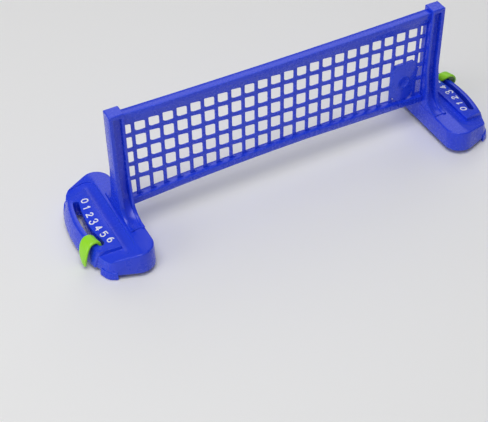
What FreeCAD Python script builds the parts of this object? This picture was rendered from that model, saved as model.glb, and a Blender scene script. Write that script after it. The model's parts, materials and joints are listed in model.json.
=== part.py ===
"""Toy table tennis net: a moulded net panel between two posts, each post standing in a hollow base
that carries a 0 to 6 score scale, a curved slot and a green score slider.

Millimetres, +Z up. The origin is on the table, midway between the posts. X runs along the net and
Y across it. Everything is modelled at the -X end and turned half round about Z for the +X end.
Distances called "reach" are measured along -X from the outer face of the post.
"""

import FreeCAD
import Part

import math
import os

# Overall sizes
POST_SPAN = 260.0  # outer face to outer face of the two posts
POST_TOP = 104.1  # top of the post caps above the table
BASE_HALF_LENGTH = 46.9  # middle of the base to either end, at deck height
DECK_HEIGHT = 19.0  # deck beside the post
SKIRT_GAP = 3.6  # table to the skirt, between the feet

# Post: an H section with a solid cap and flared feet
POST_WIDTH = 10.6
POST_DEPTH = 10.2
OUTER_FLANGE = 2.8
INNER_FLANGE = 2.0
WEB = 3.0
CAP = 3.2
CAP_EDGE = 0.7
FLARE_HALF = 20.5
FLARE_LONGER = 3.5  # the foot of the post reaches this much further on the numeral 6 side
FLARE_TOE = 1.1
FLARE_TAPER_HEIGHT = 34.0
FLARE_NECK_HEIGHT = 9.0
FLARE_NECK_HALF = 8.3
CHANNEL_FLOOR_HEIGHT = 14.0
TENON_WIDTH = 5.0
TENON_DEPTH = 9.0
TENON_DROP = 8.0
SOCKET_CLEARANCE = 0.15
SOCKET_WALL = 1.6

# Net panel
RAIL_BELOW_CAP = 2.5  # top of the post to the top of the net
TOP_RAIL_HEIGHT = 7.1
TOP_RAIL_SAG = 1.2
BOTTOM_RAIL_ABOVE_DECK = 8.6
BOTTOM_RAIL_HEIGHT = 5.3
BOTTOM_RAIL_RISE = 3.6
RAIL_THICKNESS = 6.4
RAIL_REBATE = 0.5  # how far the lower part of each rail's faces is set back
TOP_REBATE_HEIGHT = 3.0
BOTTOM_REBATE_HEIGHT = 1.4
MESH_HEM = 3.6  # plain strip of the mesh under the top rail
MESH_STILE = 1.0  # plain strip of the mesh beside each post
MESH_THICKNESS = 1.2
STRAND = 2.4
STRAND_COLUMNS = 23
STRAND_ROWS = 4
END_CELL_SHARE = 0.67  # the cells beside the posts are narrower than the others
TOP_CELL_HEIGHT = 9.65  # from the hem to the middle of the highest cross strand
FOOT_CELL_HEIGHT = 16.3  # from the lowest cross strand's middle to the bottom rail's top, at an end
CELL_FOOT_RADIUS = 3.6  # lower left corner of a cell
CELL_HEAD_RADIUS = 2.2  # upper right corner of a cell
CELL_SHARP_RADIUS = 0.5
CELL_ABOVE_RAIL = 0.2
CELL_TOP_DROP = 1.0  # the top edge of a cell falls this much towards the right
TONGUE_THICKNESS = 1.3
TONGUE_LENGTH = 4.8
TONGUE_MARGIN = 0.9
TONGUE_CLEARANCE = 0.1
END_GAP = 0.1

# Label plate, across the two cells before the end of the net
PLATE_WIDTH = 22.4
PLATE_COLUMN = 10  # the plate is centred on this strand, counted from the middle of the net
PLATE_HEIGHT = 33.5
PLATE_CORNER = 7.4
PLATE_THICKNESS = 2.0
PLATE_RING = 5.2
PLATE_RING_WIDTH = 1.1
PLATE_RING_PROUD = 0.5

# Base: a hollow moulding on four corner feet
WALL = 2.0
ROOF = 2.2
INNER_CORNER = 12.0
OUTER_CORNER = 8.0
END_SLANT = 20.0  # degrees, how the ends of the base turn in
SLANT_START = 3.0  # reach at which the deck starts to fall away
DECK_SLOPE = 12.0
DECK_BEND = 30.0
END_DRAFT = 1.7
OUTER_DRAFT = 3.6
INNER_DRAFT = 0.0
DECK_EDGE = 1.2
FOOT_LENGTH = 13.0
FOOT_WIDTH = 13.8
FOOT_HEIGHT = 6.0
FOOT_EDGE = 1.0
FOOT_PROUD = 0.8  # how far the feet stand out from the skirt
PEG_RADIUS = 3.5  # the pegs under the inner corners, set back behind the skirt
PEG_INSET_X = 9.5
PEG_INSET_Y = 11.5
SWING_REACH = -71.0  # the slot, scale and outer wall are all arcs about this point
OUTER_REACH = 29.4

# Score table: the raised area with the scale and the slot
TABLE_REACH = 10.3
TABLE_HALF = 32.6
TABLE_SLANT = 13.0
TABLE_BELOW_DECK = 0.3  # inner side of the table's top, below the deck
TABLE_SLOPE = 6.5
TABLE_EDGE = 0.6
RIM_TOP_REACH = 29.4  # the outer wall of the score table bulges down and outwards from here
RIM_MIDDLE_REACH = 31.5
RIM_MIDDLE_SHARE = 0.64  # of the deck height, where the wall passes its middle reach
RIM_FOOT_REACH = 33.7
RIM_EDGE = 1.6
RIM_OVER = 1.5  # the wall's curve carries on this far above the table, to be cut off by it
RIM_SPAN = 40.0  # degrees, half the sweep of the outer wall, more than the table takes
MARGIN_REACH = 2.2
MARGIN_HALF = 40.4
MARGIN_CORNER = 8.5
MARGIN_DEPTH = 1.3
SLOT_INNER_REACH = 21.8
SLOT_WIDTH = 4.5
SLOT_HALF_ANGLE = 14.9
COLLAR_WALL = 1.2  # the skirt that hangs under the table round the slot
COLLAR_FOOT = 4.6

# Score scale
SCALE_REACH = 17.7
SCALE_STEP = 4.8  # degrees from one numeral to the next
SCALE_OFFSET = -0.5  # degrees, middle numeral away from the middle of the base
NUMERAL_HEIGHT = 4.5
NUMERAL_WIDTH = 3.2
NUMERAL_STROKE = 0.85
NUMERAL_PROUD = 0.2

# Slider: a clip over the rim, with a finger in the slot and a wing down the outer wall
SLIDER_FIT = 0.3
FINGER_THICKNESS = 1.8
FINGER_LENGTH = 8.0
FINGER_DROP = 7.5
SLIDER_LENGTH = 10.4
SLIDER_CROWN = 3.2
WING_STAND_OFF = 1.6  # the wing hangs this far outside the wall
WING_THICKNESS = 2.0
WING_FOOT = 2.2
WING_TIP_LENGTH = 2.6
WING_EDGE = 0.8
WING_TOP_SHARE = 0.72  # of the deck height, where the wing starts to narrow
FAR_SIDE_GROW = 1.2  # how far past the clip's side the narrowing starts, numeral 6 side last
NEAR_SIDE_GROW = 0.6
SHOULDER_IN = 3.4
REST_ANGLE = -11.3  # degrees, where the slider stands at numeral 6

OUTER_X = -POST_SPAN / 2
INNER_X = OUTER_X + POST_WIDTH
SWING_X = OUTER_X - SWING_REACH
TABLE_HEIGHT = DECK_HEIGHT - TABLE_BELOW_DECK
SLOT_OUTER_REACH = SLOT_INNER_REACH + SLOT_WIDTH
RAIL_TOP = POST_TOP - RAIL_BELOW_CAP
BOTTOM_RAIL_TOP = DECK_HEIGHT + BOTTOM_RAIL_ABOVE_DECK
PANEL_HALF = -INNER_X - END_GAP  # middle of the net to the end of a rail
STRAND_PITCH_X = 2 * PANEL_HALF / (STRAND_COLUMNS - 1 + 2 * END_CELL_SHARE)
STRAND_TOP_ROW = RAIL_TOP - TOP_RAIL_HEIGHT - MESH_HEM - TOP_CELL_HEIGHT
STRAND_LOW_ROW = BOTTOM_RAIL_TOP + FOOT_CELL_HEIGHT
STRAND_PITCH_Z = (STRAND_TOP_ROW - STRAND_LOW_ROW) / (STRAND_ROWS - 1)
PLATE_MIDDLE = PLATE_COLUMN * STRAND_PITCH_X
FAR = 60.0  # beyond every part of the base, measured outwards
ABOVE = DECK_HEIGHT + 20.0  # over every part of the base


def vec(x, y, z=0.0):
    return FreeCAD.Vector(x, y, z)


def at(reach):
    """World x of a distance measured outwards from the outer face of the post."""
    return OUTER_X - reach


def line(a, b):
    return Part.LineSegment(a, b).toShape()


def arc(a, middle, b):
    return Part.Arc(a, middle, b).toShape()


def polygon(points):
    return Part.makePolygon(points + [points[0]])


def soft_polygon(corners, lift):
    """Closed outline whose corners, given as (a, b, radius), are rounded; lift makes (a, b) a point."""
    count = len(corners)
    starts = []
    ends = []
    middles = []
    for i, (a, b, radius) in enumerate(corners):
        here = vec(a, b)
        before = (vec(*corners[i - 1][:2]) - here).normalize()
        after = (vec(*corners[(i + 1) % count][:2]) - here).normalize()
        half_turn = before.getAngle(after) / 2
        run = radius / math.tan(half_turn)
        inwards = (before + after).normalize()
        starts.append(here + before * run)
        ends.append(here + after * run)
        middles.append(here + inwards * (radius / math.sin(half_turn) - radius))
    edges = []
    for i in range(count):
        a, middle, b, following = (
            lift(p.x, p.y) for p in (starts[i], middles[i], ends[i], starts[(i + 1) % count])
        )
        edges.append(arc(a, middle, b))
        edges.append(line(b, following))
    return Part.Wire(edges)


def prism(wire, push):
    return Part.Face(wire).extrude(push)


def box(x0, x1, y0, y1, z0, z1):
    return Part.makeBox(x1 - x0, y1 - y0, z1 - z0, vec(x0, y0, z0))


def fuse(shapes):
    return shapes[0].fuse(shapes[1:]).removeSplitter()


def solid_of(shape):
    """The one solid of a finished piece."""
    solids = shape.Solids
    if len(solids) != 1:
        raise ValueError("a piece came out as %d solids" % len(solids))
    return solids[0]


def turned(shape):
    """The same piece at the other end of the net."""
    copy = shape.copy()
    copy.rotate(vec(0, 0), vec(0, 0, 1), 180)
    return copy


def radius_of(reach):
    """Radius, about the swing centre, of an arc that crosses y = 0 at this reach."""
    return SWING_X - at(reach)


def swing_point(radius, degrees, z=0.0):
    """A point on an arc about the swing centre; positive angles are towards +Y."""
    turn = math.radians(degrees)
    return vec(SWING_X - radius * math.cos(turn), radius * math.sin(turn), z)


def sloped_plane(reach_start, z_start, degrees, reach):
    return z_start - (reach - reach_start) * math.tan(math.radians(degrees))


# ---------------------------------------------------------------- base


def base_outline(grow_end, grow_outer, grow_inner, z):
    """Closed outline of the base: straight inner side, slanted ends and a bulging outer side."""
    slant = math.radians(END_SLANT)
    inner_x = INNER_X + grow_inner
    half = BASE_HALF_LENGTH + grow_end
    big = INNER_CORNER + grow_inner
    round_x = inner_x - big
    round_y = half - big
    end_dir = vec(-math.cos(slant), -math.sin(slant))
    normal = vec(-math.sin(slant), math.cos(slant))
    start = vec(round_x, round_y) + normal * big
    small = OUTER_CORNER + grow_outer / 2
    outer = radius_of(OUTER_REACH) + grow_outer
    swing = vec(SWING_X, 0)

    # the outer corner touches the slanted end and the outer arc
    offset = start - normal * small - swing
    along = offset.dot(end_dir)
    room = (outer - small) ** 2 - offset.dot(offset) + along**2
    run = -along + math.sqrt(room)
    corner = swing + offset + end_dir * run
    touch_end = corner + normal * small
    outward = (corner - swing).normalize()
    touch_outer = corner + outward * small
    halfway = (normal + outward).normalize()
    knuckle = corner + halfway * small
    inner_half = (vec(1, 0) + normal).normalize()
    inner_knuckle = vec(round_x, round_y) + inner_half * big

    def lift(p, side=1):
        return vec(p.x, side * p.y, z)

    inner_end = vec(inner_x, round_y)
    return Part.Wire(
        [
            line(lift(inner_end, -1), lift(inner_end)),
            arc(lift(inner_end), lift(inner_knuckle), lift(start)),
            line(lift(start), lift(touch_end)),
            arc(lift(touch_end), lift(knuckle), lift(touch_outer)),
            arc(lift(touch_outer), vec(SWING_X - outer, 0, z), lift(touch_outer, -1)),
            arc(lift(touch_outer, -1), lift(knuckle, -1), lift(touch_end, -1)),
            line(lift(touch_end, -1), lift(start, -1)),
            arc(lift(start, -1), lift(inner_knuckle, -1), lift(inner_end, -1)),
        ]
    )


def drafted_block(shrink, z_low, z_high):
    """The outside of the base, or the same shape set in by a wall, between two heights."""
    wires = []
    for z in (z_low, z_high):
        share = (DECK_HEIGHT - z) / DECK_HEIGHT
        wires.append(
            base_outline(
                END_DRAFT * share - shrink,
                OUTER_DRAFT * share - shrink,
                INNER_DRAFT * share - shrink,
                z,
            )
        )
    return Part.makeLoft(wires, True, True)


def above_deck(drop):
    """Everything above the deck surface lowered by a distance: flat, then a bend, then a slope."""
    z = DECK_HEIGHT - drop
    slope = math.radians(DECK_SLOPE)
    tangent = DECK_BEND * math.tan(slope / 2)
    start = SLANT_START - tangent
    far_z = sloped_plane(SLANT_START, z, DECK_SLOPE, FAR)

    def p(reach, height):
        return vec(at(reach), -1.5 * BASE_HALF_LENGTH, height)

    def on_bend(angle):
        return p(start + DECK_BEND * math.sin(angle), z - DECK_BEND * (1 - math.cos(angle)))

    profile = Part.Wire(
        [
            line(p(-FAR, z), on_bend(0)),
            arc(on_bend(0), on_bend(slope / 2), on_bend(slope)),
            line(on_bend(slope), p(FAR, far_z)),
            line(p(FAR, far_z), p(FAR, ABOVE)),
            line(p(FAR, ABOVE), p(-FAR, ABOVE)),
            line(p(-FAR, ABOVE), p(-FAR, z)),
        ]
    )
    return prism(profile, vec(0, 3 * BASE_HALF_LENGTH, 0))


def table_prism(shrink, z_low, z_high):
    """Upright block with the score table's plan: straight inner side and slanted ends."""
    inner_x = at(TABLE_REACH) - shrink
    half = TABLE_HALF - shrink
    far_half = half - (inner_x - at(FAR)) * math.tan(math.radians(TABLE_SLANT))
    corners = [
        vec(inner_x, -half, z_low),
        vec(inner_x, half, z_low),
        vec(at(FAR), far_half, z_low),
        vec(at(FAR), -far_half, z_low),
    ]
    return prism(polygon(corners), vec(0, 0, z_high - z_low))


def rim_profile(grow, z_low):
    """Radial section, at y = 0, of everything inside the table's bulging outer wall."""

    def p(reach, z):
        return vec(at(reach + grow), 0, z)

    low = p(RIM_FOOT_REACH, z_low)
    foot = p(RIM_FOOT_REACH, SKIRT_GAP)
    middle = p(RIM_MIDDLE_REACH, DECK_HEIGHT * RIM_MIDDLE_SHARE)
    top = p(RIM_TOP_REACH - RIM_OVER / 3, table_z(RIM_TOP_REACH) + RIM_OVER)
    high = p(RIM_TOP_REACH - RIM_OVER / 3, ABOVE)
    return Part.Wire(
        [
            line(vec(INNER_X, 0, z_low), low),
            line(low, foot),
            arc(foot, middle, top),
            line(top, high),
            line(high, vec(INNER_X, 0, ABOVE)),
            line(vec(INNER_X, 0, ABOVE), vec(INNER_X, 0, z_low)),
        ]
    )


def table_block(shrink, z_low, lower):
    """The score table's outside, set in by a wall, with its sloping top lowered by a distance."""
    section = Part.Face(rim_profile(-shrink, z_low))
    section.rotate(vec(SWING_X, 0), vec(0, 0, 1), RIM_SPAN)
    round_block = section.revolve(vec(SWING_X, 0), vec(0, 0, 1), -2 * RIM_SPAN)
    block = round_block.common(table_prism(shrink, z_low, ABOVE))
    z = TABLE_HEIGHT - lower
    profile = [
        vec(at(-FAR), -FAR, sloped_plane(TABLE_REACH, z, TABLE_SLOPE, -FAR)),
        vec(at(FAR), -FAR, sloped_plane(TABLE_REACH, z, TABLE_SLOPE, FAR)),
        vec(at(FAR), -FAR, 2 * ABOVE),
        vec(at(-FAR), -FAR, 2 * ABOVE),
    ]
    return block.cut(prism(polygon(profile), vec(0, 2 * FAR, 0)))


def table_z(reach):
    return sloped_plane(TABLE_REACH, TABLE_HEIGHT, TABLE_SLOPE, reach)


def swept_table_z(reach):
    """Height of the table's flat top under a point of the slider, at the ends of its travel."""
    radius = radius_of(reach)
    end = math.radians(max(-REST_ANGLE, 0) + slider_angle())
    return table_z(reach - radius * (1 - math.cos(end)))


def swing_sector(inner, outer, half_angle, z_low, z_high, rounded):
    """A curved bar about the swing centre, with square or rounded ends."""
    a = swing_point(outer, -half_angle, z_low)
    b = swing_point(outer, half_angle, z_low)
    c = swing_point(inner, half_angle, z_low)
    d = swing_point(inner, -half_angle, z_low)
    edges = [arc(a, swing_point(outer, 0, z_low), b)]
    if rounded:
        middle = (inner + outer) / 2
        bulge = math.degrees((outer - inner) / 2 / middle)
        edges.append(arc(b, swing_point(middle, half_angle + bulge, z_low), c))
        edges.append(arc(c, swing_point(inner, 0, z_low), d))
        edges.append(arc(d, swing_point(middle, -half_angle - bulge, z_low), a))
    else:
        edges.append(line(b, c))
        edges.append(arc(c, swing_point(inner, 0, z_low), d))
        edges.append(line(d, a))
    return prism(Part.Wire(edges), vec(0, 0, z_high - z_low))


def margin_pocket():
    """Shallow sunk margin round the score table, following the slope of the deck."""
    x0 = at(MARGIN_REACH)
    y = MARGIN_HALF
    r = MARGIN_CORNER
    far = at(FAR)
    k = r * (1 - math.sqrt(0.5))
    wire = Part.Wire(
        [
            line(vec(x0, r - y), vec(x0, y - r)),
            arc(vec(x0, y - r), vec(x0 - k, y - k), vec(x0 - r, y)),
            line(vec(x0 - r, y), vec(far, y)),
            line(vec(far, y), vec(far, -y)),
            line(vec(far, -y), vec(x0 - r, -y)),
            arc(vec(x0 - r, -y), vec(x0 - k, k - y), vec(x0, r - y)),
        ]
    )
    column = prism(wire, vec(0, 0, ABOVE))
    return column.common(above_deck(MARGIN_DEPTH))


def rounded(shape, radius, wanted):
    edges = [e for e in shape.Edges if wanted(e)]
    return shape.makeFillet(radius, edges)


def make_base():
    outside = drafted_block(0, 0, DECK_HEIGHT + 2).cut(above_deck(0))
    outside = rounded(
        outside,
        DECK_EDGE,
        lambda e: e.BoundBox.ZMin > DECK_HEIGHT / 3 and not crosses_deck(e),
    )
    outside = outside.cut(margin_pocket())
    table = rounded(
        table_block(0, 0, 0),
        RIM_EDGE,
        lambda e: e.BoundBox.ZMin > DECK_HEIGHT * 0.75
        and e.BoundBox.YLength > TABLE_HALF / 2
        and e.BoundBox.XMax < at(TABLE_REACH + 5),
    )
    table = rounded(
        table,
        TABLE_EDGE,
        lambda e: e.BoundBox.ZMin > DECK_HEIGHT / 2
        and e.BoundBox.XMin > at(TABLE_REACH + 1)
        and e.BoundBox.YLength > TABLE_HALF,
    )
    shell = outside.fuse(table)

    # hollow, open underneath
    hollow = drafted_block(WALL, -1, DECK_HEIGHT + 2).cut(above_deck(ROOF + MARGIN_DEPTH))
    under_table = table_block(WALL, -1, ROOF)
    shell = shell.cut(hollow.fuse(under_table))

    # the skirt stops short of the ground, and four feet carry the base
    shell = shell.cut(box(at(FAR), INNER_X + FAR, -FAR, FAR, -FAR, SKIRT_GAP))
    shell = shell.fuse(make_feet())

    # the slot with its collar, and the socket for the post
    collar = swing_sector(
        radius_of(SLOT_INNER_REACH - COLLAR_WALL),
        radius_of(SLOT_OUTER_REACH + COLLAR_WALL),
        SLOT_HALF_ANGLE - slot_end_angle(),
        COLLAR_FOOT,
        table_z(RIM_TOP_REACH) - ROOF / 2,
        True,
    )
    shell = shell.fuse(collar).cut(
        swing_sector(
            radius_of(SLOT_INNER_REACH),
            radius_of(SLOT_OUTER_REACH),
            SLOT_HALF_ANGLE - slot_end_angle(),
            COLLAR_FOOT - 1,
            ABOVE,
            True,
        )
    )
    middle_x = (OUTER_X + INNER_X) / 2
    w = TENON_WIDTH / 2 + SOCKET_CLEARANCE
    d = TENON_DEPTH / 2 + SOCKET_CLEARANCE
    low = DECK_HEIGHT - TENON_DROP
    boss = box(
        middle_x - w - SOCKET_WALL,
        middle_x + w + SOCKET_WALL,
        -d - SOCKET_WALL,
        d + SOCKET_WALL,
        low,
        DECK_HEIGHT - ROOF / 2,
    )
    hole = box(middle_x - w, middle_x + w, -d, d, low - 1, ABOVE)
    return solid_of(shell.fuse(boss).cut(hole).removeSplitter())


def make_feet():
    """Two rounded feet under the outer corners and two pegs under the inner ones."""
    block = drafted_block(-FOOT_PROUD, 0, FOOT_HEIGHT)
    out = at(OUTER_REACH + OUTER_DRAFT) + FOOT_WIDTH
    inner_end = BASE_HALF_LENGTH - FOOT_LENGTH - FOOT_PROUD
    feet = []
    for side in (-1, 1):
        ends = sorted((side * inner_end, side * FAR))
        foot = block.common(box(at(FAR), out, ends[0], ends[1], 0, FOOT_HEIGHT))
        feet.append(rounded(foot, FOOT_EDGE, lambda e: e.BoundBox.ZMax < FOOT_HEIGHT / 2))
        peg_x = INNER_X - PEG_INSET_X
        peg_y = side * (BASE_HALF_LENGTH - PEG_INSET_Y)
        feet.append(Part.makeCylinder(PEG_RADIUS, DECK_HEIGHT - ROOF, vec(peg_x, peg_y)))
    return feet


def slot_end_angle():
    """Angle taken by the rounded end of the slot."""
    middle = (radius_of(SLOT_INNER_REACH) + radius_of(SLOT_OUTER_REACH)) / 2
    return math.degrees((SLOT_OUTER_REACH - SLOT_INNER_REACH) / 2 / middle)


def crosses_deck(edge):
    """True for the lines straight across the deck where it bends."""
    box_of = edge.BoundBox
    return box_of.XLength < 1e-6 and box_of.XMax < INNER_X - 1


# ---------------------------------------------------------------- post


def flare_outline(x, half_top, z_top, taper_start, neck, toe):
    """Outline in the YZ plane of a part of the post that flares out onto the deck."""
    z0 = DECK_HEIGHT
    neck_y, neck_z = neck
    toe_y, toe_z = toe
    long_y = toe_y + FLARE_LONGER
    mid_y = neck_y + (toe_y - neck_y) * 0.27
    long_mid_y = neck_y + (long_y - neck_y) * 0.27
    mid_z = toe_z + (neck_z - toe_z) * 0.30

    def p(y, z):
        return vec(x, y, z)

    return Part.Wire(
        [
            line(p(-half_top, z_top), p(half_top, z_top)),
            line(p(half_top, z_top), p(half_top, taper_start)),
            line(p(half_top, taper_start), p(neck_y, neck_z)),
            arc(p(neck_y, neck_z), p(mid_y, mid_z), p(toe_y, toe_z)),
            line(p(toe_y, toe_z), p(toe_y, z0)),
            line(p(toe_y, z0), p(-long_y, z0)),
            line(p(-long_y, z0), p(-long_y, toe_z)),
            arc(p(-long_y, toe_z), p(-long_mid_y, mid_z), p(-neck_y, neck_z)),
            line(p(-neck_y, neck_z), p(-half_top, taper_start)),
            line(p(-half_top, taper_start), p(-half_top, z_top)),
        ]
    )


def make_post():
    half = POST_DEPTH / 2
    z0 = DECK_HEIGHT
    neck = (FLARE_NECK_HALF, z0 + FLARE_NECK_HEIGHT)
    toe = (FLARE_HALF, z0 + FLARE_TOE)
    below_cap = POST_TOP - CAP
    taper = z0 + FLARE_TAPER_HEIGHT
    flanges = [
        prism(
            flare_outline(OUTER_X, half, below_cap, taper, neck, toe),
            vec(OUTER_FLANGE, 0, 0),
        ),
        prism(
            flare_outline(INNER_X - INNER_FLANGE, half, below_cap, taper, neck, toe),
            vec(INNER_FLANGE, 0, 0),
        ),
    ]
    core = prism(
        flare_outline(
            OUTER_X + OUTER_FLANGE / 2,
            WEB / 2,
            below_cap,
            z0 + CHANNEL_FLOOR_HEIGHT + 6,
            (WEB / 2 + 0.5, z0 + CHANNEL_FLOOR_HEIGHT),
            (FLARE_HALF - 0.8, z0 + FLARE_TOE / 2),
        ),
        vec(POST_WIDTH - OUTER_FLANGE / 2 - INNER_FLANGE / 2, 0, 0),
    )
    cap = box(OUTER_X, INNER_X, -half, half, below_cap, POST_TOP)
    cap = rounded(cap, CAP_EDGE, lambda e: e.BoundBox.ZMin > below_cap + CAP / 2)
    middle_x = (OUTER_X + INNER_X) / 2
    tenon = box(
        middle_x - TENON_WIDTH / 2,
        middle_x + TENON_WIDTH / 2,
        -TENON_DEPTH / 2,
        TENON_DEPTH / 2,
        z0 - TENON_DROP + 0.5,
        z0 + 1,
    )
    post = fuse(flanges + [core, cap, tenon])
    for z_low, z_high in tongue_heights():
        gap = TONGUE_THICKNESS / 2 + TONGUE_CLEARANCE
        post = post.cut(
            box(
                INNER_X - TONGUE_LENGTH - TONGUE_CLEARANCE,
                INNER_X + 1,
                -gap,
                gap,
                z_low - TONGUE_CLEARANCE,
                z_high + TONGUE_CLEARANCE,
            )
        )
    return solid_of(post.removeSplitter())


# ---------------------------------------------------------------- net panel


def tongue_heights():
    """Bottom and top of the tongues at the ends of the two rails."""
    return [
        (
            RAIL_TOP - TOP_RAIL_HEIGHT + TONGUE_MARGIN,
            RAIL_TOP - TONGUE_MARGIN,
        ),
        (
            BOTTOM_RAIL_TOP - BOTTOM_RAIL_HEIGHT + TONGUE_MARGIN,
            BOTTOM_RAIL_TOP - TONGUE_MARGIN,
        ),
    ]


def rail_top_z(x):
    """Top of the bottom rail, which rises in a shallow arc towards the middle of the net."""
    share = min(1.0, abs(x) / PANEL_HALF)
    return BOTTOM_RAIL_TOP + BOTTOM_RAIL_RISE * (1 - share * share)


def bowed_bar(half_length, z_low, z_high, bow, thickness):
    """A long bar centred on the net whose two long edges are shallow arcs."""
    y = -thickness / 2
    wire = Part.Wire(
        [
            arc(
                vec(-half_length, y, z_high),
                vec(0, y, z_high + bow),
                vec(half_length, y, z_high),
            ),
            line(vec(half_length, y, z_high), vec(half_length, y, z_low)),
            arc(
                vec(half_length, y, z_low),
                vec(0, y, z_low + bow),
                vec(-half_length, y, z_low),
            ),
            line(vec(-half_length, y, z_low), vec(-half_length, y, z_high)),
        ]
    )
    return prism(wire, vec(0, thickness, 0))


def rail(half_length, z_low, z_high, bow, rebate_height):
    """A rail whose two faces are set back along their lower part."""
    bar = bowed_bar(half_length, z_low, z_high, bow, RAIL_THICKNESS)
    for side in (-1, 1):
        rebate = bowed_bar(half_length + 1, z_low - 1, z_low + rebate_height, bow, RAIL_REBATE * 2)
        rebate.translate(vec(0, side * RAIL_THICKNESS / 2, 0))
        bar = bar.cut(rebate)
    return bar


def cell_wire(x0, x1, z0, z1):
    """One opening of the mesh: its lower left and upper right corners are the round ones."""
    width = x1 - x0
    foot = min(CELL_FOOT_RADIUS, width * 0.4)
    head = min(CELL_HEAD_RADIUS, width * 0.4)
    drop = CELL_TOP_DROP * min(1.0, width / STRAND_PITCH_X)
    corners = [
        (x0, z0, foot),
        (x1, z0, CELL_SHARP_RADIUS),
        (x1, z1 - drop, head),
        (x0, z1, CELL_SHARP_RADIUS),
    ]
    return soft_polygon(corners, lambda x, z: vec(x, -MESH_THICKNESS / 2, z))


def mesh_sheet(half_length):
    """The net itself: a sheet with one opening for each cell."""
    half = STRAND / 2
    lows = [STRAND_TOP_ROW - row * STRAND_PITCH_Z for row in range(STRAND_ROWS)]
    hem_z = RAIL_TOP - TOP_RAIL_HEIGHT - MESH_HEM
    first = -STRAND_PITCH_X * (STRAND_COLUMNS - 1) / 2
    strands = [first + i * STRAND_PITCH_X for i in range(STRAND_COLUMNS)]
    first_x = half_length - MESH_STILE + half
    edges_x = [-first_x] + strands + [first_x]
    y = -MESH_THICKNESS / 2
    z_low = BOTTOM_RAIL_TOP - BOTTOM_RAIL_HEIGHT / 2
    z_high = RAIL_TOP - TOP_RAIL_HEIGHT / 2
    outline = polygon(
        [
            vec(-half_length, y, z_low),
            vec(half_length, y, z_low),
            vec(half_length, y, z_high),
            vec(-half_length, y, z_high),
        ]
    )
    holes = []
    for left, right in zip(edges_x, edges_x[1:]):
        foot_z = rail_top_z(max(abs(left), abs(right))) + CELL_ABOVE_RAIL
        edges_z = [hem_z] + lows + [foot_z]
        for row, (high, low) in enumerate(zip(edges_z, edges_z[1:])):
            top = high if row == 0 else high - half
            bottom = low if row == STRAND_ROWS else low + half
            holes.append(cell_wire(left + half, right - half, bottom, top))
    sheet = Part.makeFace([outline] + holes, "Part::FaceMakerBullseye")
    return sheet.extrude(vec(0, MESH_THICKNESS, 0))


def label_plate():
    """Plain eight sided plate in the mesh, with a raised ring as a generic device."""
    x0 = PLATE_MIDDLE - PLATE_WIDTH / 2
    x1 = PLATE_MIDDLE + PLATE_WIDTH / 2
    z0 = rail_top_z(x0) - PLATE_THICKNESS / 4
    z1 = z0 + PLATE_HEIGHT
    low_cut = PLATE_CORNER
    high_cut = PLATE_CORNER / 2
    corners = [
        (x0 + low_cut, z0),
        (x1 - low_cut, z0),
        (x1, z0 + low_cut),
        (x1, z1 - high_cut),
        (x1 - high_cut, z1),
        (x0 + high_cut, z1),
        (x0, z1 - high_cut),
        (x0, z0 + low_cut),
    ]
    y = -PLATE_THICKNESS / 2
    plate = prism(polygon([vec(x, y, z) for x, z in corners]), vec(0, PLATE_THICKNESS, 0))
    reach = PLATE_THICKNESS / 2 + PLATE_RING_PROUD
    start = vec(PLATE_MIDDLE, -reach, (z0 + z1) / 2)
    disc = Part.makeCylinder(PLATE_RING, 2 * reach, start, vec(0, 1, 0))
    core = Part.makeCylinder(PLATE_RING - PLATE_RING_WIDTH, 2 * reach, start, vec(0, 1, 0))
    return [plate, disc.cut(core)]


def make_net_panel():
    half_length = PANEL_HALF
    top_low = RAIL_TOP - TOP_RAIL_HEIGHT
    bottom_low = BOTTOM_RAIL_TOP - BOTTOM_RAIL_HEIGHT
    top = rail(half_length, top_low, RAIL_TOP, -TOP_RAIL_SAG, TOP_REBATE_HEIGHT)
    bottom = rail(
        half_length, bottom_low, BOTTOM_RAIL_TOP, BOTTOM_RAIL_RISE, BOTTOM_REBATE_HEIGHT
    )
    pieces = [mesh_sheet(half_length), top, bottom] + label_plate()
    for z_low, z_high in tongue_heights():
        for side in (-1, 1):
            inner = side * (half_length - 1)
            outer = side * (half_length + END_GAP + TONGUE_LENGTH)
            pieces.append(
                box(
                    min(inner, outer),
                    max(inner, outer),
                    -TONGUE_THICKNESS / 2,
                    TONGUE_THICKNESS / 2,
                    z_low,
                    z_high,
                )
            )
    return solid_of(fuse(pieces))


# ---------------------------------------------------------------- numerals

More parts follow.
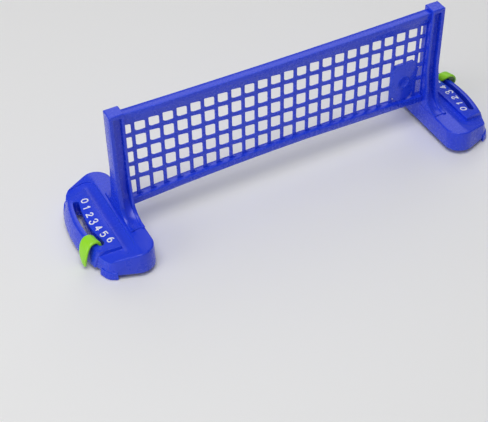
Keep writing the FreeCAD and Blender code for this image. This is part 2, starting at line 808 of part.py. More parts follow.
# Each numeral is drawn on a unit grid, 0..1 across and 0..1 up, as strokes of straight runs ("l")
# and arcs ("a", start, through, end).
NUMERAL_STROKES = {
    "0": [
        ("a", (0.0, 0.65), (0.5, 1.0), (1.0, 0.65)),
        ("l", (1.0, 0.65), (1.0, 0.35)),
        ("a", (1.0, 0.35), (0.5, 0.0), (0.0, 0.35)),
        ("l", (0.0, 0.35), (0.0, 0.65)),
    ],
    "1": [
        ("l", (0.5, 0.0), (0.5, 1.0)),
        ("l", (0.5, 1.0), (0.16, 0.74)),
    ],
    "2": [
        ("a", (0.04, 0.72), (0.5, 1.0), (0.94, 0.70)),
        ("l", (0.94, 0.70), (0.04, 0.0)),
        ("l", (0.04, 0.0), (1.0, 0.0)),
    ],
    "3": [
        ("a", (0.06, 0.86), (0.92, 0.76), (0.44, 0.53)),
        ("a", (0.44, 0.53), (1.0, 0.27), (0.02, 0.14)),
    ],
    "4": [
        ("l", (0.76, 0.0), (0.76, 1.0)),
        ("l", (0.76, 1.0), (0.0, 0.28)),
        ("l", (0.0, 0.28), (1.0, 0.28)),
    ],
    "5": [
        ("l", (0.92, 1.0), (0.14, 1.0)),
        ("l", (0.14, 1.0), (0.10, 0.54)),
        ("a", (0.10, 0.54), (1.0, 0.32), (0.03, 0.10)),
    ],
    "6": [
        ("a", (0.80, 0.98), (0.18, 0.70), (0.02, 0.30)),
        ("a", (0.02, 0.30), (0.5, 0.62), (0.98, 0.30)),
        ("a", (0.98, 0.30), (0.5, 0.0), (0.02, 0.30)),
    ],
}


def stroke_outline(kind, points):
    """Flat shape of one stroke: a band with round ends along a straight run or an arc."""
    half = NUMERAL_STROKE / 2
    places = [vec(p[0] * NUMERAL_WIDTH, p[1] * NUMERAL_HEIGHT) for p in points]
    faces = []
    for end in (places[0], places[-1]):
        faces.append(Part.Face(Part.Wire(Part.makeCircle(half, end))))
    if kind == "l":
        a, b = places
        side = (b - a).normalize().cross(vec(0, 0, 1)) * half
        faces.append(Part.Face(polygon([a + side, b + side, b - side, a - side])))
        return faces
    a, middle, b = places
    centre = arc(a, middle, b).Curve.Center
    bands = []
    for grow in (half, -half):
        ends = []
        for p in (a, middle, b):
            ray = (p - centre).normalize()
            ends.append(centre + ray * ((p - centre).Length + grow))
        bands.append(ends)
    (a1, m1, b1), (a2, m2, b2) = bands
    faces.append(
        Part.Face(Part.Wire([arc(a1, m1, b1), line(b1, b2), arc(b2, m2, a2), line(a2, a1)]))
    )
    return faces


def numeral(text):
    """One numeral, flat on z = 0, centred on the origin and reading upright along +Y."""
    faces = []
    for kind, *points in NUMERAL_STROKES[text]:
        faces.extend(stroke_outline(kind, points))
    thickness = vec(0, 0, NUMERAL_PROUD)
    solid = solid_of(fuse([face.extrude(thickness) for face in faces]))
    solid.translate(vec(-NUMERAL_WIDTH / 2, -NUMERAL_HEIGHT / 2, 0))
    return solid


def place_on_table(shape, text):
    """Puts a numeral on the score table, its foot outwards and its head towards the net."""
    turn = (int(text) - 3) * SCALE_STEP - SCALE_OFFSET
    placed = shape.copy()
    placed.rotate(vec(0, 0), vec(0, 0, 1), -90)
    placed.translate(vec(at(SCALE_REACH), 0, 0))
    placed.rotate(vec(SWING_X, 0), vec(0, 0, 1), turn)
    placed.translate(vec(0, 0, TABLE_HEIGHT))
    placed.rotate(vec(at(TABLE_REACH), 0, TABLE_HEIGHT), vec(0, 1, 0), -TABLE_SLOPE)
    return placed


def make_numerals():
    return [place_on_table(numeral(text), text) for text in sorted(NUMERAL_STROKES)]


# ---------------------------------------------------------------- slider


def slider_section():
    """Radial section of the slider clip, as a closed wire in the XZ plane at y = 0."""
    rim_in = SLOT_OUTER_REACH - SLIDER_FIT
    finger_in = rim_in - FINGER_THICKNESS
    top_in = swept_table_z(SLOT_OUTER_REACH) + SLIDER_FIT
    top_out = swept_table_z(RIM_TOP_REACH) + SLIDER_FIT
    wing_in = RIM_FOOT_REACH + WING_STAND_OFF
    wing_out = wing_in + WING_THICKNESS
    bulge_z = DECK_HEIGHT * RIM_MIDDLE_SHARE
    crown = top_in + SLIDER_CROWN

    def p(reach, z):
        return vec(at(reach), 0, z)

    finger_foot = p(finger_in, top_in - FINGER_DROP)
    rim_foot = p(rim_in, top_in - FINGER_DROP)
    inner_wing = p(RIM_MIDDLE_REACH + WING_STAND_OFF, bulge_z)
    outer_foot = p(wing_out - WING_EDGE, WING_FOOT)
    shoulder = p(wing_out - SHOULDER_IN, top_out + SLIDER_CROWN / 2)
    crest = p(finger_in + WING_EDGE, crown)
    return Part.Wire(
        [
            line(finger_foot, rim_foot),
            line(rim_foot, p(rim_in, top_in)),
            line(p(rim_in, top_in), p(RIM_TOP_REACH, top_out)),
            arc(p(RIM_TOP_REACH, top_out), inner_wing, p(wing_in, WING_FOOT)),
            line(p(wing_in, WING_FOOT), outer_foot),
            arc(outer_foot, p(wing_out, bulge_z - SHOULDER_IN / 2), shoulder),
            arc(shoulder, p(RIM_TOP_REACH + WING_EDGE, crown), crest),
            line(crest, p(finger_in, crown - WING_EDGE)),
            line(p(finger_in, crown - WING_EDGE), finger_foot),
        ]
    )


def slider_angle():
    return math.degrees(SLIDER_LENGTH / 2 / radius_of(RIM_TOP_REACH))


def finger_angle():
    return math.degrees(FINGER_LENGTH / 2 / radius_of(SLOT_OUTER_REACH))


def wing_trim(side, grow, tip_y):
    """What is cut from one side of the wing so that it narrows in a curve to a tip at its foot."""
    top = DECK_HEIGHT * WING_TOP_SHARE
    wide = side * (SLIDER_LENGTH / 2 + grow)
    away = wide + side * SLIDER_LENGTH
    foot = WING_FOOT - WING_EDGE
    bend_z = foot + (top - foot) * 0.42
    bend_y = wide * 0.72 + tip_y * 0.28
    outline = Part.Wire(
        [
            arc(vec(0, wide, top), vec(0, bend_y, bend_z), vec(0, tip_y, foot)),
            line(vec(0, tip_y, foot), vec(0, away, foot)),
            line(vec(0, away, foot), vec(0, away, top)),
            line(vec(0, away, top), vec(0, wide, top)),
        ]
    )
    trim = prism(outline, vec(-FAR, 0, 0))
    trim.translate(vec(at(RIM_TOP_REACH), 0, 0))
    return trim


def make_slider():
    half = slider_angle()
    section = Part.Face(slider_section())
    section.rotate(vec(SWING_X, 0), vec(0, 0, 1), half)
    clip = section.revolve(vec(SWING_X, 0), vec(0, 0, 1), -2 * half)

    # inside the slot only the short finger is left
    low = DECK_HEIGHT / 4
    inner = radius_of(SLOT_INNER_REACH - SLIDER_CROWN)
    rim = radius_of(SLOT_OUTER_REACH) - SLIDER_FIT / 2
    top = swept_table_z(SLOT_INNER_REACH) + SLIDER_FIT
    for side in (-1, 1):
        trim = swing_sector(inner, rim, (2 * half - finger_angle()) / 2, low, top, False)
        shift = (2 * half + finger_angle()) / 2
        trim.rotate(vec(SWING_X, 0), vec(0, 0, 1), side * shift)
        clip = clip.cut(trim)

    clip = clip.cut(wing_trim(1, FAR_SIDE_GROW, WING_TIP_LENGTH * 0.05))
    clip = clip.cut(wing_trim(-1, NEAR_SIDE_GROW, -WING_TIP_LENGTH * 0.6))
    clip = solid_of(clip.removeSplitter())
    clip.rotate(vec(SWING_X, 0), vec(0, 0, 1), -REST_ANGLE)
    return clip


# ---------------------------------------------------------------- pieces


def main():
    os.makedirs("parts", exist_ok=True)
    pieces = {"net_panel": make_net_panel()}
    paired = {
        "base": make_base(),
        "post": make_post(),
        "slider": make_slider(),
        "numerals": Part.Compound(make_numerals()),
    }
    for name, shape in paired.items():
        pieces[name + "_left"] = shape
        pieces[name + "_right"] = turned(shape)
    for name, shape in pieces.items():
        shape.exportStep("parts/%s.step" % name)
        box_of = shape.BoundBox
        print(
            "%-16s %8.0f mm3  x %.1f..%.1f  y %.1f..%.1f  z %.1f..%.1f  solids %d valid %s"
            % (
                name,
                shape.Volume,
                box_of.XMin,
                box_of.XMax,
                box_of.YMin,
                box_of.YMax,
                box_of.ZMin,
                box_of.ZMax,
                len(shape.Solids),
                shape.isValid(),
            )
        )


main()
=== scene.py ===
"""Looks of the toy table tennis net: mouldings, score sliders, finishes and a plain studio."""

import json
import logging
import math
from dataclasses import dataclass, field
from enum import Enum
from typing import Any, Iterable, Sequence

import bmesh
import bpy
from mathutils import Matrix, Vector

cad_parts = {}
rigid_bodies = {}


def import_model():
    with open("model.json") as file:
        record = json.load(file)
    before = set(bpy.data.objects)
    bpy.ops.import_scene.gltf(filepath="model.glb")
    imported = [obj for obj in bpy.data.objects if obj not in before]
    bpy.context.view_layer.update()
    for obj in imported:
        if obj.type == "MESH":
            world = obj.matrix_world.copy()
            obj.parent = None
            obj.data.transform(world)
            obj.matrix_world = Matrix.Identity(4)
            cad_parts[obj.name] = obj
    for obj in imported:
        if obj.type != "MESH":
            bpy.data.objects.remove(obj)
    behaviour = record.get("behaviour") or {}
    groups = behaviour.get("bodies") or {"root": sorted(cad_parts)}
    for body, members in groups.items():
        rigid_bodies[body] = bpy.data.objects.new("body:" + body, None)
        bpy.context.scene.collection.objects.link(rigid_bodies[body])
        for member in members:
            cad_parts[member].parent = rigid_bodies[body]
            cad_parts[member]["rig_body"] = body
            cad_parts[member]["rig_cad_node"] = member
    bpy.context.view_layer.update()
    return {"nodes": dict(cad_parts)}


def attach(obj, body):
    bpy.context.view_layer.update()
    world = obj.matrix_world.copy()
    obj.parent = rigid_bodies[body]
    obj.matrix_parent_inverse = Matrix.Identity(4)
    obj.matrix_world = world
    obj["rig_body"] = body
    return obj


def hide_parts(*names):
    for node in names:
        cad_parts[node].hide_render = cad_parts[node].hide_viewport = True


log = logging.getLogger("table_tennis_net")

MM = 0.001
HALF_TURN = math.pi


class End(Enum):
    """Which end of the net a piece belongs to; the value is its turn about Z."""

    LEFT = 0.0
    RIGHT = HALF_TURN

    @property
    def tag(self) -> str:
        """The end's word as it stands in node and body names."""
        return self.name.lower()


class Slot(Enum):
    """Names of the record's material slots for the blue and the green plastic."""

    BLUE = "blue_plastic"
    GREEN = "green_plastic"


# ---------------------------------------------------------------- shader building


class Signal:
    """A number carried by a socket; arithmetic on it adds Math nodes."""

    def __init__(self, board: "Board", socket: Any) -> None:
        """Wraps one output socket of the board's tree."""
        self.board = board
        self.socket = socket

    def _math(self, operation: str, first: Any, second: Any) -> "Signal":
        """Adds one Math node.

        Args:
            operation: the node's operation.
            first: left operand, a signal or a number.
            second: right operand, a signal or a number.

        Returns:
            The node's result.
        """
        return self.board.node("ShaderNodeMath", {"operation": operation}, {0: first, 1: second})

    def __add__(self, other: Any) -> "Signal":
        """Sum."""
        return self._math("ADD", self, other)

    __radd__ = __add__

    def __mul__(self, other: Any) -> "Signal":
        """Product."""
        return self._math("MULTIPLY", self, other)

    __rmul__ = __mul__

    def __sub__(self, other: Any) -> "Signal":
        """Difference."""
        return self._math("SUBTRACT", self, other)

    def __rsub__(self, other: Any) -> "Signal":
        """Difference with the signal on the right."""
        return self._math("SUBTRACT", other, self)

    def clamped(self) -> "Signal":
        """The signal kept between 0 and 1."""
        return self._math("MINIMUM", self._math("MAXIMUM", self, 0.0), 1.0)


@dataclass(frozen=True)
class Grain:
    """A noise: how fine it is, how many finer layers it has and how strong those are."""

    scale: float
    detail: float
    roughness: float = 0.5


class Board:
    """The node tree of one material, with its own shader and output."""

    def __init__(self, name: str) -> None:
        """Starts a material with an empty tree."""
        self.material = bpy.data.materials.new(name)
        self.material.use_nodes = True
        self.tree = self.material.node_tree
        self.tree.nodes.clear()

    def feed(self, socket: Any, value: Any) -> None:
        """Links a signal to an input socket, or sets a plain value on it."""
        if isinstance(value, Signal):
            self.tree.links.new(value.socket, socket)
        else:
            socket.default_value = value

    def node(
        self, kind: str, settings: dict[str, Any], inputs: dict[Any, Any], output: Any = 0
    ) -> Signal:
        """Adds a node, sets it up and joins its sockets.

        Args:
            kind: the node's type name.
            settings: properties, set before the sockets.
            inputs: socket name or number to a value or a signal.
            output: the socket that is returned.

        Returns:
            The chosen output.
        """
        made = self.tree.nodes.new(kind)
        for key, value in settings.items():
            setattr(made, key, value)
        for key, value in inputs.items():
            self.feed(made.inputs[key], value)
        return Signal(self, made.outputs[output])

    def noise(self, grain: Grain) -> Signal:
        """Noise on Object coordinates, 0 to 1."""
        return self.node(
            "ShaderNodeTexNoise",
            {},
            {
                "Vector": self.node("ShaderNodeTexCoord", {}, {}, "Object"),
                "Scale": grain.scale,
                "Detail": grain.detail,
                "Roughness": grain.roughness,
            },
            "Fac",
        )

    def mixed(self, share: Signal, first: Any, second: Any) -> Signal:
        """Mixes two colours.

        Args:
            share: 0 gives the first colour, 1 the second.
            first: a colour or a signal.
            second: a colour or a signal.

        Returns:
            The mixed colour.
        """
        node = self.tree.nodes.new("ShaderNodeMix")
        node.data_type = "RGBA"
        self.feed(next(socket for socket in node.inputs if socket.type == "VALUE"), share)
        colours = [socket for socket in node.inputs if socket.type == "RGBA"]
        for socket, value in zip(colours, (first, second)):
            self.feed(socket, value)
        return Signal(self, next(socket for socket in node.outputs if socket.type == "RGBA"))

    def dotted(self, first: Signal, second: Signal) -> Signal:
        """Dot product of two directions."""
        return self.node(
            "ShaderNodeVectorMath", {"operation": "DOT_PRODUCT"}, {0: first, 1: second}, "Value"
        )

    def bumped(self, height: Signal, distance: float, strength: float, **inputs: Any) -> Signal:
        """Normal raised by a height.

        Args:
            height: the height, 0 to 1.
            distance: what a height of 1 stands for, in metres.
            strength: how much of it is used.
            inputs: further sockets of the Bump node.

        Returns:
            The new normal.
        """
        sockets = {"Height": height, "Distance": distance, "Strength": strength, **inputs}
        return self.node("ShaderNodeBump", {}, sockets, "Normal")

    def finish(self, inputs: dict[str, Any]) -> Any:
        """Closes the tree with a shader.

        Args:
            inputs: sockets of the Principled shader.

        Returns:
            The material.
        """
        shader = self.node("ShaderNodeBsdfPrincipled", {}, inputs, "BSDF")
        out = self.tree.nodes.new("ShaderNodeOutputMaterial")
        self.feed(out.inputs["Surface"], shader)
        return self.material


def rgba(colour: Sequence[float]) -> tuple[float, float, float, float]:
    """A linear colour with full opacity."""
    return (colour[0], colour[1], colour[2], 1.0)


@dataclass(frozen=True)
class MouldedPlastic:
    """Glossy moulded plastic: soft flow clouds, fine handling marks and a painted highlight that
    lightens the edges.
    """

    name: str
    colour: tuple[float, float, float]
    deep: tuple[float, float, float]
    # Paler colour of the painted highlight along the edges.
    edge_highlight_colour: tuple[float, float, float]
    roughness: float
    edge_radius: float = 0.35 * MM
    edge_samples: int = 4
    edge_gain: float = 5.0
    # How strongly the painted edge highlight lightens the edges, and how much the scuff noise
    # adds to it.
    edge_highlight_share: float = 0.25
    edge_highlight_scuff_share: float = 0.35
    clouds: Grain = Grain(34.0, 3.0)
    cloud_dulling: float = 0.05
    scuffs: Grain = Grain(420.0, 4.0, 0.65)
    mark_level: float = 0.52
    mark_gain: float = 2.6
    mark_dulling: float = 0.05
    peel: Grain = Grain(260.0, 1.0)
    peel_height: float = 0.006 * MM
    peel_strength: float = 0.5
    refraction: float = 1.5
    coat: float = 0.10
    coat_roughness: float = 0.16

    def build(self) -> Any:
        """Makes the material.

        Returns:
            The material.
        """
        board = Board(self.name)
        clouds = board.noise(self.clouds)
        scuffs = board.noise(self.scuffs)
        soft = board.node(
            "ShaderNodeBevel",
            {"samples": self.edge_samples},
            {"Radius": self.edge_radius},
            "Normal",
        )
        flat = board.node("ShaderNodeNewGeometry", {}, {}, "True Normal")
        edge = ((1.0 - board.dotted(soft, flat)) * self.edge_gain).clamped()
        # Painted highlight: edges found where the Bevel normal leaves the true normal are
        # lightened towards the paler colour, more where the scuff noise is high.
        painted_highlight = edge * (self.edge_highlight_share + scuffs * self.edge_highlight_scuff_share)
        body = board.mixed(clouds, rgba(self.deep), rgba(self.colour))
        marks = ((scuffs - self.mark_level) * self.mark_gain).clamped()
        dulling = (clouds - 0.5) * self.cloud_dulling + marks * self.mark_dulling
        return board.finish(
            {
                "Base Color": board.mixed(painted_highlight, body, rgba(self.edge_highlight_colour)),
                "Roughness": self.roughness + dulling,
                "IOR": self.refraction,
                "Coat Weight": self.coat,
                "Coat Roughness": self.coat_roughness,
                "Normal": board.bumped(
                    board.noise(self.peel), self.peel_height, self.peel_strength, Normal=soft
                ),
            }
        )


@dataclass(frozen=True)
class FoilPrint:
    """Thin white hot-stamped foil with a faintly uneven lay."""

    name: str
    colour: tuple[float, float, float]
    thin: tuple[float, float, float]
    lay: Grain = Grain(900.0, 3.0)
    thin_level: float = 0.45
    thin_gain: float = 1.6
    roughness: float = 0.38
    lay_dulling: float = 0.12
    relief: float = 0.01 * MM
    relief_strength: float = 0.5

    def build(self) -> Any:
        """Makes the material.

        Returns:
            The material.
        """
        board = Board(self.name)
        lay = board.noise(self.lay)
        share = ((lay - self.thin_level) * self.thin_gain).clamped()
        return board.finish(
            {
                "Base Color": board.mixed(share, rgba(self.colour), rgba(self.thin)),
                "Roughness": self.roughness + lay * self.lay_dulling,
                "Normal": board.bumped(lay, self.relief, self.relief_strength),
            }
        )


@dataclass(frozen=True)
class PaleFloor:
    """Plain matt paper under the object."""

    name: str = "pale_floor"
    shade: float = 0.93
    shade_change: float = 0.01
    tone: Grain = Grain(3.0, 1.0)
    roughness: float = 0.85

    def build(self) -> Any:
        """Makes the material.

        Returns:
            The material.
        """
        board = Board(self.name)
        pale = rgba([self.shade] * 3)
        dim = rgba([self.shade - self.shade_change] * 3)
        paper = board.mixed(board.noise(self.tone), pale, dim)
        return board.finish({"Base Color": paper, "Roughness": self.roughness})


# ---------------------------------------------------------------- mesh work


def deselect() -> None:
    """Leaves object mode with nothing selected."""
    if bpy.context.object and bpy.context.object.mode != "OBJECT":
        bpy.ops.object.mode_set(mode="OBJECT")
    bpy.ops.object.select_all(action="DESELECT")


def take(piece: Any) -> None:
    """Makes a piece the only selected and active one."""
    deselect()
    piece.select_set(True)
    bpy.context.view_layer.objects.active = piece


def dress(piece: Any, material: Any) -> None:
    """Puts one material on the whole of a piece."""
    if not piece.material_slots:
        piece.data.materials.append(material)
    for place in piece.material_slots:
        place.material = material


def settle(piece: Any) -> None:
    """Moves a piece's place, turn and scale into its mesh."""
    take(piece)
    bpy.ops.object.transform_apply(location=True, rotation=True, scale=True)


def copied(piece: Any, name: str) -> Any:
    """A copy of a piece in the scene, with its own mesh and a new name."""
    copy = piece.copy()
    copy.data = piece.data.copy()
    copy.name = name
    bpy.context.scene.collection.objects.link(copy)
    return copy


def apply_modifier(piece: Any, kind: str, name: str, **settings: Any) -> None:
    """Adds a modifier to a piece and applies it.

    Args:
        piece: the mesh object.
        kind: the modifier's type.
        name: a word for it.
        settings: its properties.
    """
    take(piece)
    made = piece.modifiers.new(name, kind)
    for key, value in settings.items():
        setattr(made, key, value)
    bpy.ops.object.modifier_apply(modifier=made.name)


# ---------------------------------------------------------------- mouldings and print


@dataclass
class SoftenedMoulding:
    """A moulding copied from its CAD node, with the slight rounding that its mould leaves."""

    node: str
    rounding: float
    finish: Any
    body: str = "net"
    merge: float = 0.001 * MM
    rounding_steps: int = 2
    flat_angle: float = math.radians(2.0)
    sharp_angle: float = math.radians(32.0)
    smooth_angle: float = math.radians(35.0)

    def merged_copy(self, source: Any) -> Any:
        """Copies the node and joins its loose triangles to clean faces.

        Args:
            source: the CAD node's object.

        Returns:
            The copy.
        """
        piece = copied(source, self.node + "_moulding")
        piece.parent = None
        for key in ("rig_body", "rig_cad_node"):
            if key in piece:
                del piece[key]
        take(piece)
        bpy.ops.mesh.customdata_custom_splitnormals_clear()
        bpy.ops.object.mode_set(mode="EDIT")
        bpy.ops.mesh.select_all(action="SELECT")
        bpy.ops.mesh.remove_doubles(threshold=self.merge)
        bpy.ops.mesh.dissolve_limited(angle_limit=self.flat_angle)
        bpy.ops.object.mode_set(mode="OBJECT")
        return piece

    def build(self, source: Any) -> Any:
        """Makes the rounded moulding that stands for the node.

        Args:
            source: the CAD node's object.

        Returns:
            The new piece.
        """
        piece = self.merged_copy(source)
        apply_modifier(
            piece,
            "BEVEL",
            "mould_rounding",
            width=self.rounding,
            segments=self.rounding_steps,
            limit_method="ANGLE",
            angle_limit=self.sharp_angle,
            use_clamp_overlap=True,
            harden_normals=False,
            miter_outer="MITER_ARC",
        )
        apply_modifier(piece, "TRIANGULATE", "even_faces")
        take(piece)
        bpy.ops.object.shade_smooth_by_angle(angle=self.smooth_angle)
        dress(piece, self.finish)
        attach(piece, self.body)
        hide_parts(self.node)
        return piece


@dataclass
class BlueMouldings:
    """The net panel, the posts and the bases, in one glossy blue plastic."""

    finish: Any
    roundings: dict[str, float] = field(
        default_factory=lambda: {
            "net_panel": 0.30 * MM,
            "post_left": 0.35 * MM,
            "post_right": 0.35 * MM,
            "base_left": 0.35 * MM,
            "base_right": 0.35 * MM,
        }
    )

    def build(self, nodes: dict[str, Any]) -> list[Any]:
        """Softens every blue node.

        Args:
            nodes: the CAD nodes by name.

        Returns:
            The new pieces.
        """
        return [
            SoftenedMoulding(node, rounding, self.finish).build(nodes[node])
            for node, rounding in self.roundings.items()
        ]


@dataclass
class ScoreScale:
    """White numerals on the two bases, as the frame has them."""

    finish: Any

    def build(self, nodes: dict[str, Any]) -> list[Any]:
        """Dresses the numerals.

        Args:
            nodes: the CAD nodes by name.

        Returns:
            The two sets of numerals.
        """
        scales = [nodes["numerals_" + end.tag] for end in End]
        for scale in scales:
            dress(scale, self.finish)
        return scales


# ---------------------------------------------------------------- score slider


@dataclass(frozen=True)
class Rib:
    """One cross line of the slider's inner face, in millimetres.

    The reach is measured outwards from the post's outer face. The height and the place along Y
    are given at the far and at the near end of the line.
    """

    reach: float
    far_z: float
    near_z: float
    far_y: float
    near_y: float


@dataclass
class ScoreSlider:
    """Green clip that rides over the rim: a finger in the slot, a crest and a leaf shaped wing.

    Lengths are in millimetres. The clip is modelled astride the X axis and then swung to where it
    rests, about the centre of the slot's arc.
    """

    finish: Any
    post_face_x: float = -130.0
    arc_centre_x: float = -59.0
    rest_angle: float = 11.3
    thickness: float = 2.0
    crown: float = 0.25
    smoothing: int = 3
    columns: int = 4
    ribs: tuple[Rib, ...] = (
        Rib(23.9, 11.8, 11.8, -1.2, -4.2),
        Rib(25.2, 13.0, 13.0, 0.0, -4.6),
        Rib(25.7, 16.2, 16.2, 2.8, -4.6),
        Rib(26.2, 18.8, 18.3, 4.9, -4.0),
        Rib(28.2, 20.0, 18.4, 6.0, -3.0),
        Rib(30.9, 19.4, 17.9, 6.6, -2.9),
        Rib(33.2, 16.4, 15.6, 6.6, -3.5),
        Rib(34.8, 12.4, 12.1, 5.6, -4.0),
        Rib(35.8, 8.6, 8.5, 3.6, -3.8),
        Rib(36.1, 5.2, 5.2, 1.2, -3.2),
        Rib(36.0, 2.4, 2.4, -1.0, -2.4),
    )

    def point(self, rib: Rib, column: int) -> Vector:
        """Where a vertex of the inner face goes.

        Args:
            rib: the vertex's cross line.
            column: its number on the line, from the near end.

        Returns:
            The place, in metres.
        """
        share = column / self.columns
        crown = math.sin(share * HALF_TURN) * self.crown
        y = rib.near_y + (rib.far_y - rib.near_y) * share
        z = rib.near_z + (rib.far_z - rib.near_z) * share
        return Vector((self.post_face_x - rib.reach - crown, y, z)) * MM

    def lay_row(self, piece: Any, row: Sequence[int], rib: Rib) -> None:
        """Moves the vertices of one row to their places on a rib.

        Args:
            piece: the slider, in edit mode.
            row: indices of the row, from the near to the far end.
            rib: the cross line.
        """
        for column, index in enumerate(row):
            mesh = bmesh.from_edit_mesh(piece.data)
            mesh.verts.ensure_lookup_table()
            for vertex in mesh.verts:
                vertex.select_set(vertex.index == index)
            mesh.select_flush_mode()
            away = self.point(rib, column) - mesh.verts[index].co
            bmesh.update_edit_mesh(piece.data)
            bpy.ops.transform.translate(value=away)

    def extrude_row(self, piece: Any, row: Sequence[int]) -> list[int]:
        """Extrudes one row of vertices outwards.

        Args:
            piece: the slider, in edit mode.
            row: indices of the row, from the near to the far end.

        Returns:
            Indices of the new row, in the same order.
        """
        mesh = bmesh.from_edit_mesh(piece.data)
        mesh.verts.ensure_lookup_table()
        for vertex in mesh.verts:
            vertex.select_set(False)
        mesh.select_flush(False)
        wanted = set(row)
        for edge in mesh.edges:
            if {vertex.index for vertex in edge.verts} <= wanted:
                edge.select_set(True)
        bmesh.update_edit_mesh(piece.data)
        bpy.ops.mesh.extrude_edges_move(TRANSFORM_OT_translate={"value": (-MM, 0, 0)})
        mesh = bmesh.from_edit_mesh(piece.data)
        mesh.verts.index_update()
        new = [vertex for vertex in mesh.verts if vertex.select]
        return [vertex.index for vertex in sorted(new, key=lambda vertex: vertex.co.y)]

    def inner_face(self) -> Any:
        """Models the open strip that lies against the rim, rib by rib.

        Returns:
            The strip, with its faces turned away from the rim.
        """
        deselect()
        bpy.ops.mesh.primitive_grid_add(
            x_subdivisions=1,
            y_subdivisions=self.columns,
            size=2 * MM,
            location=self.point(self.ribs[0], 0),
        )
        piece = bpy.context.object
        piece.name = "score_slider_left"
        settle(piece)
        bpy.ops.object.mode_set(mode="EDIT")
        mesh = bmesh.from_edit_mesh(piece.data)
        rows: dict[float, list[int]] = {}
        for vertex in sorted(mesh.verts, key=lambda vertex: vertex.co.y):
            rows.setdefault(round(vertex.co.x, 6), []).append(vertex.index)
        first, last = (rows[x] for x in sorted(rows, reverse=True))
        self.lay_row(piece, first, self.ribs[0])
        self.lay_row(piece, last, self.ribs[1])
        for rib in self.ribs[2:]:
            last = self.extrude_row(piece, last)
            self.lay_row(piece, last, rib)
        bpy.ops.mesh.select_all(action="SELECT")
        bpy.ops.mesh.normals_make_consistent(inside=False)
        bpy.ops.object.mode_set(mode="OBJECT")
        self.face_outwards(piece)
        return piece

    def face_outwards(self, piece: Any) -> None:
        """Turns the open strip over if its faces point at the rim instead of away from it."""
        highest = max(piece.data.polygons, key=lambda face: face.center.z)
        if highest.normal.z < 0:
            take(piece)
            bpy.ops.object.mode_set(mode="EDIT")
            bpy.ops.mesh.select_all(action="SELECT")
            bpy.ops.mesh.flip_normals()
            bpy.ops.object.mode_set(mode="OBJECT")

    def build_left(self) -> Any:
        """Gives the strip its wall and swings it to where it rests.

        Returns:
            The finished piece, at the left end.
        """
        piece = self.inner_face()
        apply_modifier(
            piece,
            "SOLIDIFY",
            "wall",
            thickness=self.thickness * MM,
            offset=1.0,
            use_even_offset=True,
        )
        apply_modifier(
            piece, "SUBSURF", "smooth", levels=self.smoothing, render_levels=self.smoothing
        )
        take(piece)
        bpy.ops.object.shade_smooth()
        pivot = Matrix.Translation(Vector((self.arc_centre_x * MM, 0, 0)))
        turn = Matrix.Rotation(math.radians(self.rest_angle), 4, "Z")
        piece.matrix_world = pivot @ turn @ pivot.inverted() @ piece.matrix_world
        settle(piece)
        dress(piece, self.finish)
        return piece

    def build(self) -> list[Any]:
        """Models both clips.

        Returns:
            The left and the right piece.
        """
        left = self.build_left()
        right = copied(left, "score_slider_right")
        right.matrix_world = Matrix.Rotation(End.RIGHT.value, 4, "Z") @ right.matrix_world
        settle(right)
        for piece, end in ((left, End.LEFT), (right, End.RIGHT)):
            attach(piece, "slider_" + end.tag)
            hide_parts("slider_" + end.tag)
        return [left, right]


# ---------------------------------------------------------------- studio


@dataclass(frozen=True)
class Panel:
    """A rectangular studio light aimed at the object."""

    name: str
    place: tuple[float, float, float]
    size: tuple[float, float]
    power: float
    colour: tuple[float, float, float] = (1.0, 1.0, 1.0)
    aim: tuple[float, float, float] = (0.0, 0.0, 0.03)

    def build(self) -> None:
        """Hangs the light."""
        lamp = bpy.data.lights.new(self.name, "AREA")
        lamp.shape = "RECTANGLE"
        lamp.size, lamp.size_y = self.size
        lamp.energy = self.power
        lamp.color = self.colour
        holder = bpy.data.objects.new(self.name, lamp)
        bpy.context.scene.collection.objects.link(holder)
        holder.location = self.place
        away = Vector(self.aim) - Vector(self.place)
        holder.rotation_euler = away.to_track_quat("-Z", "Y").to_euler()


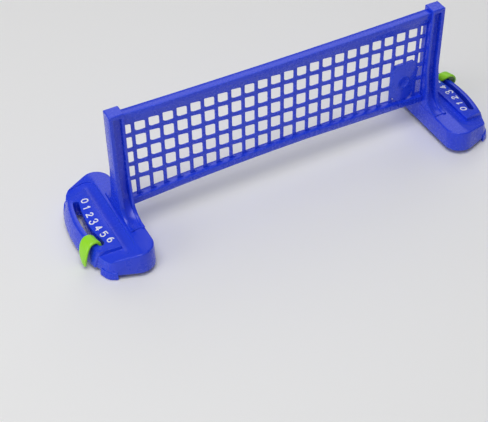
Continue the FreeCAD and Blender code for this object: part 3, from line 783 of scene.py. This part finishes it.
@dataclass
class Studio:
    """Pale floor, soft light and the camera. Angles are in degrees and lengths in metres."""

    azimuth: float = 27.274
    elevation: float = 43.160
    roll: float = -1.032
    aim: tuple[float, float, float] = (-0.035318, -0.007571, -0.017280)
    distance: float = 0.891910
    lens_mm: float = 89.985
    sensor_mm: float = 36.0
    clip: tuple[float, float] = (0.01, 20.0)
    floor_side: float = 8.0
    floor_gap: float = 0.0002
    sky: float = 0.22
    panels: tuple[Panel, ...] = (
        Panel("back_overhead", (0.75, 1.45, 1.65), (1.7, 1.2), 8.0),
        Panel("overhead", (-0.35, -0.35, 1.7), (1.1, 1.1), 15.0),
        Panel("left_wall", (-1.6, -0.2, 0.55), (1.2, 0.9), 6.5),
    )

    def floor(self) -> None:
        """Lays the floor just under the object's feet."""
        deselect()
        bpy.ops.mesh.primitive_plane_add(size=self.floor_side, location=(0, 0, -self.floor_gap))
        ground = bpy.context.object
        ground.name = "floor"
        settle(ground)
        dress(ground, PaleFloor().build())

    def light(self) -> None:
        """Sets the world and the panels."""
        world = bpy.data.worlds.new("studio")
        world.use_nodes = True
        background = world.node_tree.nodes["Background"]
        background.inputs["Color"].default_value = (1.0, 1.0, 1.0, 1.0)
        background.inputs["Strength"].default_value = self.sky
        bpy.context.scene.world = world
        for panel in self.panels:
            panel.build()
        bpy.context.scene.view_settings.view_transform = "Standard"

    def camera(self) -> None:
        """Places the camera."""
        turn, dip, roll = (math.radians(a) for a in (self.azimuth, self.elevation, self.roll))
        forward = Vector(
            (math.sin(turn) * math.cos(dip), math.cos(turn) * math.cos(dip), -math.sin(dip))
        )
        level = Vector((math.cos(turn), -math.sin(turn), 0.0))
        upright = level.cross(forward)
        right = math.cos(roll) * level + math.sin(roll) * upright
        up = math.cos(roll) * upright - math.sin(roll) * level
        facing = Matrix((right, up, -forward)).transposed().to_4x4()
        lens = bpy.data.cameras.new("camera")
        lens.lens = self.lens_mm
        lens.sensor_width = self.sensor_mm
        lens.clip_start, lens.clip_end = self.clip
        holder = bpy.data.objects.new("camera", lens)
        bpy.context.scene.collection.objects.link(holder)
        place = Vector(self.aim) - forward * self.distance
        holder.matrix_world = Matrix.Translation(place) @ facing
        bpy.context.scene.camera = holder

    def build(self) -> None:
        """Sets up the whole studio."""
        self.camera()
        self.floor()
        self.light()


# ---------------------------------------------------------------- main


def report(pieces: Iterable[Any]) -> None:
    """Logs each piece with its triangle count."""
    for piece in pieces:
        piece.data.calc_loop_triangles()
        log.info("%s: %d triangles", piece.name, len(piece.data.loop_triangles))


def main() -> None:
    """Builds every piece in order."""
    logging.basicConfig(level=logging.INFO, format="%(name)s %(message)s")
    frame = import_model()
    blue = MouldedPlastic(
        "blue_moulded_plastic",
        colour=(0.012, 0.052, 0.82),
        deep=(0.010, 0.042, 0.72),
        # Paler colour of the painted edge highlight.
        edge_highlight_colour=(0.06, 0.18, 0.98),
        roughness=0.27,
    ).build()
    green = MouldedPlastic(
        "green_moulded_plastic",
        colour=(0.36, 0.84, 0.02),
        deep=(0.30, 0.76, 0.015),
        # Paler colour of the painted edge highlight.
        edge_highlight_colour=(0.50, 0.90, 0.10),
        roughness=0.33,
        edge_radius=0.2 * MM,
    ).build()
    white = FoilPrint("white_foil", (0.93, 0.94, 0.98), (0.82, 0.85, 0.95)).build()
    Studio().build()
    report(BlueMouldings(blue).build(frame["nodes"]))
    report(ScoreScale(white).build(frame["nodes"]))
    report(ScoreSlider(green).build())


if __name__ == "__main__":
    main()
